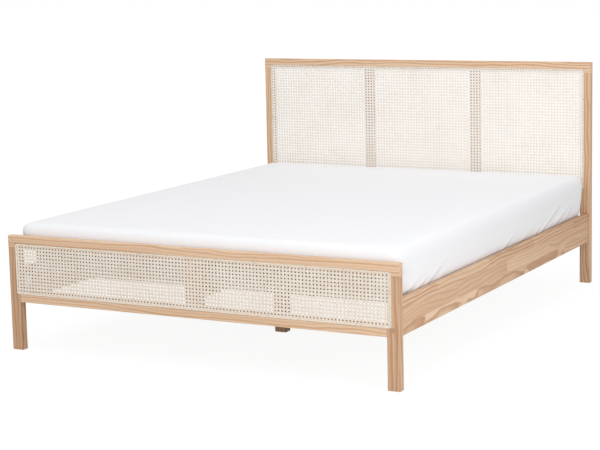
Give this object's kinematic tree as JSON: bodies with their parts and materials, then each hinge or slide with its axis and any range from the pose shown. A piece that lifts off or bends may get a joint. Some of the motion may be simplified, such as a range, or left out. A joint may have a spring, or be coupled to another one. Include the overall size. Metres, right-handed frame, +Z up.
{
  "type": "bed",
  "caption": "Wooden double bed with framed cane webbing in headboard and footboard, slatted base on a centre beam, and a sheeted mattress.",
  "frame": {"origin": "on the floor under the middle of the bed", "axes": "+Y towards the headboard, +X to the right as seen from the foot, +Z up"},
  "size_m": [1.66, 2.09, 1],
  "materials": {
    "timber": "clear matt lacquer on light softwood, orange brown grain",
    "slat": "sawn pale softwood",
    "base_timber": "planed softwood",
    "leg": "planed softwood",
    "cane": "natural cane strands, satin skin",
    "reed": "peeled reed, matt",
    "zinc_steel": "zinc plated",
    "fastener": "zinc plated",
    "dowel": "turned beech",
    "tape": "woven polyester tape",
    "mattress": "knitted cover",
    "sheet": "plain white cotton percale"
  },
  "bodies": {
    "frame": {"beam_hanger_foot": "zinc_steel", "beam_hanger_head": "zinc_steel", "bracket_bolts": "fastener", "centre_beam": "base_timber", "centre_leg_foot": "leg", "centre_leg_head": "leg", "corner_bracket_foot_left": "zinc_steel", "corner_bracket_foot_right": "zinc_steel", "corner_bracket_head_left": "zinc_steel", "corner_bracket_head_right": "zinc_steel", "foot_bottom_rail": "timber", "foot_cane_panel": "cane", "foot_cane_spline": "reed", "foot_post_left": "timber", "foot_post_right": "timber", "foot_stile": "timber", "foot_top_rail": "timber", "head_cane_panel": "cane", "head_cane_spline": "reed", "head_cross_rail": "timber", "head_lower_rail": "timber", "head_post_left": "timber", "head_post_right": "timber", "head_stile_left": "timber", "head_stile_right": "timber", "head_support_stile": "timber", "head_top_rail": "timber", "leg_bolts": "fastener", "rail_dowels": "dowel", "side_rail_left": "timber", "side_rail_right": "timber", "slat_01": "slat", "slat_02": "slat", "slat_03": "slat", "slat_04": "slat", "slat_05": "slat", "slat_06": "slat", "slat_07": "slat", "slat_08": "slat", "slat_09": "slat", "slat_10": "slat", "slat_11": "slat", "slat_12": "slat", "slat_13": "slat", "slat_14": "slat", "slat_ledger_left": "base_timber", "slat_ledger_right": "base_timber", "slat_tape_left": "tape", "slat_tape_right": "tape"},
    "mattress": {"mattress": "mattress", "fitted_sheet": "sheet"}
  },
  "joints": [
    {"name": "mattress_lift", "type": "slide", "parent": "frame", "child": "mattress", "axis": [0, 0, 1], "range_m": [0, 0.25]}
  ]
}
